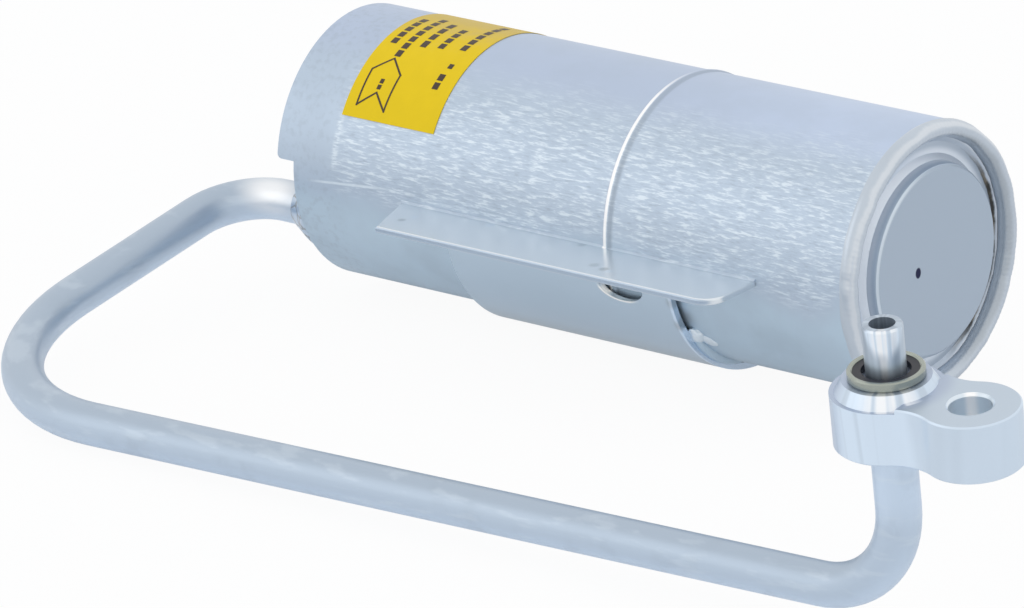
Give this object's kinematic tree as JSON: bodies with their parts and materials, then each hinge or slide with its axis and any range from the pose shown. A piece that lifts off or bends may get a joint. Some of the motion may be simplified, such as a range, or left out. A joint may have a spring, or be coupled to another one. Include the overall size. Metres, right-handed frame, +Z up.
{
  "type": "filter drier",
  "caption": "Aluminium filter drier canister with a bent inlet pipe ending in a block fitting with pilot and seal washer, a slide bracket and a yellow label with an arrow.",
  "frame": {"origin": "centre of the seal seat on the inlet line block, where the pilot leaves it", "axes": "+X along the canister from the header to the plain end, +Z up as it lies, +Y from the pipe loop to the canister"},
  "size_m": [0.3014, 0.1667, 0.0739],
  "materials": {
    "body": "satin",
    "pipe": "satin",
    "block": "machined",
    "bracket": "satin",
    "weld": "rough",
    "seal_metal": "satin",
    "seal_rubber": "matt",
    "screen": "matt",
    "steel": "brushed",
    "felt": "matt",
    "desiccant": "matt",
    "label": "satin"
  },
  "bodies": {
    "root": {"canister_shell": "body", "plain_end_cap": "body", "plain_end_weld": "weld", "header": "body", "header_weld": "weld", "inlet_pipe": "pipe", "inlet_pipe_weld": "weld", "line_block": "block", "block_braze": "weld", "seal_ring": "seal_metal", "seal_rubber": "seal_rubber", "slide_bracket": "bracket", "bracket_weld_header_side": "weld", "bracket_weld_plain_side": "weld", "bracket_root_weld": "weld", "pickup_pipe": "pipe", "pickup_strainer": "screen", "bed_spring": "steel", "upper_plate": "steel", "upper_felt": "felt", "desiccant_bed": "desiccant", "lower_felt": "felt", "lower_plate": "steel", "plate_clip": "steel", "label": "label"}
  },
  "joints": []
}
